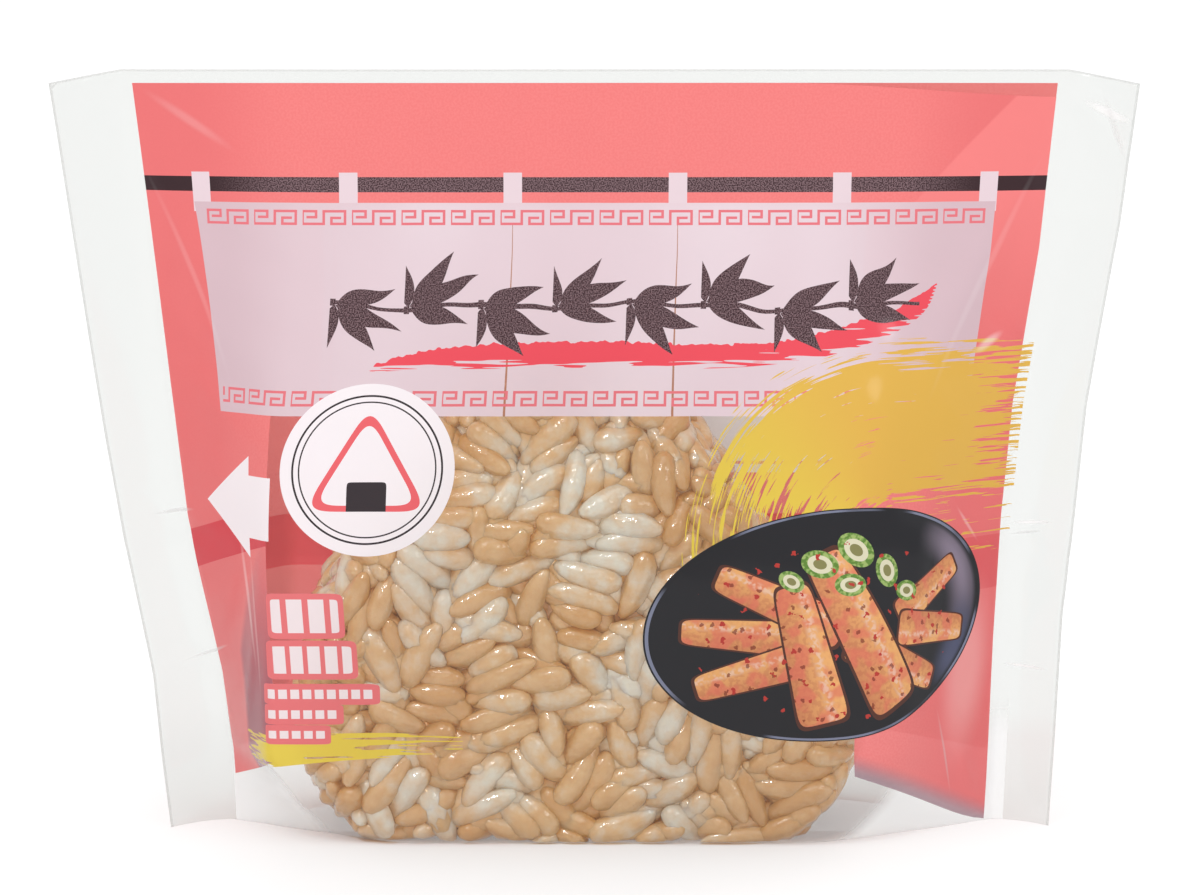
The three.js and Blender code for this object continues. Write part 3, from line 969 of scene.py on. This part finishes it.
def dish_food(film, dish):
    """Flat strips of bamboo shoot one over another, then rings of onion and flakes."""
    oil = film.ramp(film.grain(0.40), 0.44, 0.62)
    fibres = film.ramp(film.grain(1.6), 0.40, 0.62)
    flecks = film.node("TexVoronoi", {"Vector": film.place, "Scale": 0.42}, voronoi_dimensions="2D")
    size = film.calc("MULTIPLY_ADD", film.grain(2.1), 0.30, -0.04)
    flecks = film.calc("LESS_THAN", flecks.outputs["Distance"], size)
    for across, below, half_length, half_width, turn in shoots:
        seen = film.node("SeparateXYZ", {0: film.own_place((across, below), (half_length, half_width), turn)})
        along, over = seen.outputs["X"], seen.outputs["Y"]
        taper = film.calc("MULTIPLY_ADD", along, 0.16, 0.84)
        wide = film.calc("ABSOLUTE", film.calc("DIVIDE", over, taper))
        ends = film.calc("POWER", film.calc("ABSOLUTE", along), 12.0)
        out = film.calc("ADD", ends, film.calc("POWER", wide, 6.0))
        shade = film.ramp(film.calc("MULTIPLY_ADD", fibres, 0.5, over), -0.9, 1.5)
        strip = film.mixed(shade, (0.86, 0.45, 0.17), (0.58, 0.21, 0.10))
        strip = film.mixed(film.calc("MULTIPLY", oil, 0.65), strip, (0.74, 0.17, 0.12))
        shine = film.both(film.ramp(film.calc("ABSOLUTE", film.calc("ADD", over, 0.35)), 0.30, 0.02), fibres)
        strip = film.mixed(film.calc("MULTIPLY", shine, 0.55), strip, (0.93, 0.72, 0.58))
        strip = film.mixed(film.calc("MULTIPLY", flecks, 0.75), strip, (0.20, 0.03, 0.02))
        film.ink(film.both(film.calc("LESS_THAN", out, 1.9), dish), (0.10, 0.04, 0.03), full_cover)
        film.ink(film.both(film.calc("LESS_THAN", out, 1.0), dish), strip, full_cover)
    for across, below, size, turn in onion_rings:
        ring = film.ellipse((across, below), (size, size * 0.72), turn)
        green = film.mixed(fibres, (0.13, 0.26, 0.05), (0.36, 0.50, 0.16))
        film.ink(film.calc("LESS_THAN", ring, 1.0), green, full_cover)
        film.ink(film.calc("LESS_THAN", ring, 0.66), (0.74, 0.72, 0.52), full_cover)
        film.ink(film.calc("LESS_THAN", ring, 0.36), (0.26, 0.25, 0.10), full_cover)
    loose = film.node("TexVoronoi", {"Vector": film.place, "Scale": 0.30}, voronoi_dimensions="2D")
    small = film.calc("MULTIPLY_ADD", film.grain(1.7), 0.35, -0.10)
    loose = film.calc("LESS_THAN", loose.outputs["Distance"], small)
    loose = film.both(loose, film.disc((31.0, 73.0), (19.0, 11.5)))
    film.ink(loose, (0.50, 0.05, 0.04), full_cover)


# Badge, arrow and labels at the left
# A round white badge with a plain rice ball on it, an arrow to where the pack is torn open, bare
# coral labels with rows of plain pale dashes, and a yellow brush streak under them. Each label is
# (across, down, half length, half height, one dash's pitch).
badge_middle, badge_radius, badge_ink = (-27.7, 52.4), 11.0, (0.045, 0.035, 0.04)
arrow_tip, arrow_neck, arrow_tail = -53.8, -44.2, -40.0
arrow_v, head_half, shaft_half = 57.6, 6.5, 4.0
labels = ((-35.8, 71.0, 5.0, 2.9, 2.75), (-35.4, 76.6, 5.9, 2.5, 2.2), (-34.6, 81.0, 7.7, 1.35, 1.55),
          (-36.9, 83.6, 5.3, 1.30, 1.55), (-37.7, 86.2, 4.4, 1.25, 1.55))
streak_left, streak_right = -50.0, -16.5
dash_share = 0.72


def white_arrow(film):
    """The arrow, pointing left at the seal."""
    share = film.calc("DIVIDE", film.calc("SUBTRACT", film.u, arrow_tip), arrow_neck - arrow_tip)
    off_line = film.calc("ABSOLUTE", film.calc("SUBTRACT", film.v, arrow_v))
    head = film.both(film.between(film.u, arrow_tip, arrow_neck),
                     film.calc("LESS_THAN", off_line, film.calc("MULTIPLY", share, head_half)))
    shaft = film.between(film.u, arrow_neck - 0.1, arrow_tail)
    shaft = film.both(shaft, film.calc("LESS_THAN", off_line, shaft_half))
    film.ink(film.either(head, shaft), badge_white, 0.95)


def rice_ball_badge(film):
    """The badge: a dark double ring round a rice ball with a dark wrap."""
    out = film.ellipse(badge_middle, (badge_radius, badge_radius))
    film.ink(film.calc("LESS_THAN", out, 1.0), badge_white, full_cover)
    rings = film.either(film.between(out, 0.845, 0.868), film.between(out, 0.775, 0.792))
    film.ink(rings, badge_ink, full_cover)
    seen = film.own_place((badge_middle[0], badge_middle[1] + 0.8), (5.4, 5.4))
    pulls = []
    for turn in (90, 210, 330):
        way = (math.cos(math.radians(turn)), math.sin(math.radians(turn)), 0)
        pull = film.node("VectorMath", {0: seen, 1: way}, operation="DOT_PRODUCT").outputs["Value"]
        pulls.append(film.calc("POWER", film.calc("MAXIMUM", pull, 0.0), 4.0))
    ball = film.calc("ADD", film.calc("ADD", pulls[0], pulls[1]), pulls[2])
    film.ink(film.calc("LESS_THAN", ball, 0.50), (0.84, 0.14, 0.16), full_cover)
    film.ink(film.calc("LESS_THAN", ball, 0.24), badge_white, full_cover)
    wrap = film.bar((badge_middle[0], badge_middle[1] + 4.0), (2.5, 2.4), 0, 12)
    wrap = film.both(film.calc("LESS_THAN", ball, 0.50), wrap)
    film.ink(wrap, badge_ink, full_cover)


def yellow_streak(film):
    """The streak, thick where the brush was set down and dry at its tip."""
    tail = film.calc("SUBTRACT", streak_right, film.u)
    middle = film.calc("MULTIPLY_ADD", film.calc("POWER", tail, 2.0), 0.0016, 87.4)
    half = film.calc("MULTIPLY_ADD", tail, 0.030, 1.30)
    dry_ends = film.either(film.ramp(film.u, -40.0, -51.0), film.ramp(film.u, -36.0, -16.0))
    streaks = film.grain(2.6, 0.05, 1.0)
    loaded = film.calc("GREATER_THAN", streaks, film.calc("MULTIPLY_ADD", dry_ends, 0.36, 0.28))
    body = film.calc("LESS_THAN", film.calc("ABSOLUTE", film.calc("SUBTRACT", film.v, middle)), half)
    streak = film.both(body, film.between(film.u, streak_left, streak_right), loaded)
    film.ink(streak, (0.80, 0.63, 0.09), 0.90)


def bare_labels(film):
    """The labels, each with one row of dashes."""
    for across, below, half_length, half_height, pitch in labels:
        film.ink(film.bar((across, below), (half_length, half_height), 0, 10), (0.80, 0.19, 0.20), full_cover)
        row = film.bar((across, below), (half_length - 0.7, half_height - 0.75), 0, 16)
        step = film.calc("MODULO", film.calc("ADD", film.u, 60.0), pitch)
        dash = film.calc("LESS_THAN", step, pitch * dash_share)
        film.ink(film.both(row, dash), (0.88, 0.78, 0.80), full_cover)


# Patches of the front sheet
# The front is printed in one go, but its finish is worked out patch by patch, so that each patch
# only weighs the inks that lie on it.
def print_top(film):
    """The top of the coral, with the rod, its loops and the curtain's upper border."""
    field, _ = coral_field(film)
    painted_light_corner_facet(film, field)
    rod_and_loops(film)
    spiral_border(film, curtain_cloth(film), 18.8, border_start - line_half)
    seal_dots(film)


def print_drawing(film):
    """The left of the curtain, with most of the stroke and of the spray."""
    coral_field(film)
    curtain_cloth(film)
    red_stroke(film)
    bamboo_spray(film)


def print_drawing_right(film):
    """The right of the curtain, where the yellow sweep ends."""
    field, _ = coral_field(film)
    painted_light_corner_facet(film, field)
    curtain_cloth(film)
    red_stroke(film)
    bamboo_spray(film)
    yellow_sweep(film)
    seal_dots(film)


def print_hem_left(film):
    """The border above the hem at the left, and the top of the badge."""
    coral_field(film)
    spiral_border(film, curtain_cloth(film), 42.5, -49.2)
    rice_ball_badge(film)


def print_hem_right(film):
    """The border above the hem at the right, and the yellow sweep."""
    coral_field(film)
    spiral_border(film, curtain_cloth(film), 42.5, -49.2)
    yellow_sweep(film)
    seal_dots(film)


def print_badge(film):
    """The badge and the arrow, beside the window."""
    field, _ = coral_field(film)
    lap_shade(film, field)
    painted_shade_at_left(film, field)
    white_arrow(film)
    rice_ball_badge(film)


def print_labels(film):
    """The labels and the yellow streak, down to the lower left corner."""
    painted_sheen_corner(film, -1, 59.8, 0.2)
    field, _ = coral_field(film)
    lap_shade(film, field)
    painted_shade_at_left(film, field)
    yellow_streak(film)
    bare_labels(film)


def print_dish(film):
    """The dish on the yellow sweep, down to the lower right corner."""
    painted_sheen_corner(film, 1, 131.0, 1.0)
    field, field_bottom = coral_field(film)
    lap_shade(film, field)
    painted_shade_and_gleam_at_right(film, field, field_bottom)
    yellow_sweep(film)
    seal_dots(film)
    dish_food(film, dark_dish(film))


def print_nothing(film):
    """The film is left clear here."""


def print_plain(film):
    """The coral and the clear rim that are left."""
    field, _ = coral_field(film)
    painted_light_corner_facet(film, field)
    seal_dots(film)


# Each patch as its first u, last u, first v, last v, its inks and the light that passes through
# them; a face takes the first patch that holds it
through_clear, through_coral, through_white = (0.97, 0.97, 0.97), (0.95, 0.86, 0.86), (0.93, 0.90, 0.90)
through_both, through_dish = (0.95, 0.92, 0.92), (0.90, 0.88, 0.88)
front_patches = [("fin, left", (-80, -60, 12.5, 110), print_nothing, through_clear),
                 ("fin, right", (61.8, 80, 0, 110), print_nothing, through_clear),
                 ("top", (-62, 62, 12.5, 23.5), print_top, through_coral),
                 ("drawing, left", (-62, 11.5, 23.5, 41.0), print_drawing, through_white),
                 ("drawing, right", (11.5, 62.5, 23.5, 41.0), print_drawing_right, through_white),
                 ("hem, left", (-62, 11.5, 41.0, 47.0), print_hem_left, through_white),
                 ("hem, right", (11.5, 62.5, 41.0, 47.0), print_hem_right, through_white),
                 ("badge", (-62, -14, 47.0, 67.0), print_badge, through_both),
                 ("labels", (-62, -14, 67.0, 102.0), print_labels, through_both),
                 ("dish", (5.0, 62.5, 47.0, 102.0), print_dish, through_dish),
                 ("window", (-20.0, 10.0, 47.0, 102.0), print_nothing, through_clear)]
rest_of_the_front = ("plain", (-62, 62, 0, 12.5), print_plain, through_coral)
film_materials = []
for name, limits, print_patch, light_through in [*front_patches, rest_of_the_front]:
    patch = FilmPrint("printed film, " + name)
    print_patch(patch)
    painted_kink_shade_and_light(patch, *limits)
    film_materials.append(patch.finish(light_through))
plain_front = len(film_materials) - 1

# Back of the print
# Coral again, painted a little deeper than the front's as shade for the inside of the bag, ending level near
# the base, with one plain pale label, and deeper across the lap where the film lies double.
back = FilmPrint("printed film, back")
back_field = back.between(back.u, -pink_half_width, pink_half_width)
back_field = back.both(back_field, back.between(back.v, pink_top, 91.5))
back_mottle = back.ramp(back.grain(3.2), 0.3, 0.7)
# Painted shade: the back's coral is a little deeper than the front's.
back_coral = back.mixed(back_mottle, (0.87, 0.215, 0.205), (0.89, 0.235, 0.225))
back.ink(back_field, back_coral, coral_cover)
back_lap = back.both(back_field, back.between(back.v, lap_top_v, lap_bottom_v))
back.ink(back_lap, (0.82, 0.10, 0.11), 0.93)
film_materials.append(back.finish(through_coral))
plain_back = len(film_materials) - 1

back = FilmPrint("printed film, back label")
# Painted shade: the back label's coral is a little deeper than the front's.
back.ink(1.0, (0.88, 0.225, 0.215), coral_cover)
label_middle = (0, 38)
back.ink(back.bar(label_middle, (36.0, 19.0), 0, 24), (0.84, 0.78, 0.76), full_cover)
within_line = back.bar(label_middle, (34.4, 17.4), 0, 24)
back_line = back.both(back.bar(label_middle, (34.8, 17.8), 0, 24), back.outside(within_line))
back.ink(back_line, (0.80, 0.25, 0.25), full_cover)
film_materials.append(back.finish(through_coral))
back_patches = [("back label", (-38, 38, 17, 59))]

for sheet, patches, first, plain in ((front_sheet, front_patches, 0, plain_front),
                                     (back_sheet, back_patches, plain_back + 1, plain_back)):
    for film_material in film_materials:
        sheet.data.materials.append(film_material)
    place = np.empty(len(sheet.data.vertices) * 3)
    sheet.data.attributes["film_place"].data.foreach_get("vector", place)
    corners = np.array([face.vertices[:] for face in sheet.data.polygons])
    middles = place.reshape(-1, 3)[corners].mean(axis=1)
    chosen = np.full(len(corners), plain)
    for number in reversed(range(len(patches))):
        first_u, last_u, first_v, last_v = patches[number][1]
        inside = (middles[:, 0] > first_u) & (middles[:, 0] < last_u)
        inside &= (middles[:, 1] > first_v) & (middles[:, 1] < last_v)
        chosen[inside] = first + number
    sheet.data.polygons.foreach_set("material_index", chosen)

# Bag closed
# The two sheets are welded to each other all round: along the top edge, down the outer edge of
# both fins, and across under the ball.
bpy.ops.object.select_all(action="DESELECT")
front_sheet.select_set(True)
back_sheet.select_set(True)
bpy.context.view_layer.objects.active = front_sheet
bpy.ops.object.join()
film_bag = front_sheet
sheet_faces = len(film_bag.data.polygons)
bpy.ops.object.mode_set(mode="EDIT")
bpy.ops.mesh.select_mode(type="EDGE")
bpy.ops.mesh.select_all(action="DESELECT")
bpy.ops.mesh.select_non_manifold()
bpy.ops.mesh.bridge_edge_loops()
bpy.ops.object.mode_set(mode="OBJECT")
for face in film_bag.data.polygons[sheet_faces:]:
    face.material_index = plain_front
bpy.ops.object.shade_smooth()
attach(film_bag, "root")
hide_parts("film_pack")

# Floor
# A pale matt sheet of paper under the pack, large enough to run out of sight. It is not a piece
# of the object.
bpy.ops.object.select_all(action="DESELECT")
bpy.ops.mesh.primitive_plane_add(size=40)
floor = bpy.context.object
floor.name = "floor"
paper = bpy.data.materials.new("pale paper")
paper.use_nodes = True
paper.node_tree.nodes["Principled BSDF"].inputs["Base Color"].default_value = (0.97, 0.97, 0.97, 1)
paper.node_tree.nodes["Principled BSDF"].inputs["Roughness"].default_value = 0.9
paper.node_tree.nodes["Principled BSDF"].inputs["Specular IOR Level"].default_value = 0.1
floor.data.materials.append(paper)


# Studio light
# Four soft far lamps: the main one in front to the left, a weaker one to the right, one behind and
# one above. Pale light comes from all round.
def studio_lamp(name, turn, height, softness, power):
    """A soft far lamp, turned from straight in front to the right and raised, both in degrees."""
    bpy.ops.object.light_add(type="SUN", location=(0, 0, 0.5))
    lamp = bpy.context.object
    lamp.name = name
    lamp.data.energy = power
    lamp.data.angle = math.radians(softness)
    lamp.rotation_euler = (math.radians(90 - height), 0, math.radians(turn))


studio_lamp("lamp, left", -28, 52, 9, 0.95)
studio_lamp("lamp, right", 42, 36, 14, 0.20)
studio_lamp("lamp, behind", 168, 42, 24, 0.20)
studio_lamp("lamp, above", 0, 76, 34, 0.30)
world = bpy.data.worlds.new("pale room")
world.use_nodes = True
world.node_tree.nodes["Background"].inputs["Color"].default_value = (1, 1, 1, 1)
world.node_tree.nodes["Background"].inputs["Strength"].default_value = 0.745
bpy.context.scene.world = world
bpy.context.scene.view_settings.view_transform = "Standard"

# Camera
# It looks at the pack from straight in front, 7 degrees from above, through a long lens, and its
# frame is shifted by 8 of the picture's 1200 pixels.
camera_place, camera_turn = (0.00083, -0.5955, 0.1211), (math.radians(83), 0, 0)
bpy.ops.object.camera_add(location=camera_place, rotation=camera_turn)
camera = bpy.context.object
camera.data.lens = 138.6
camera.data.sensor_width = 36
camera.data.shift_y = 8 / 1200
bpy.context.scene.camera = camera
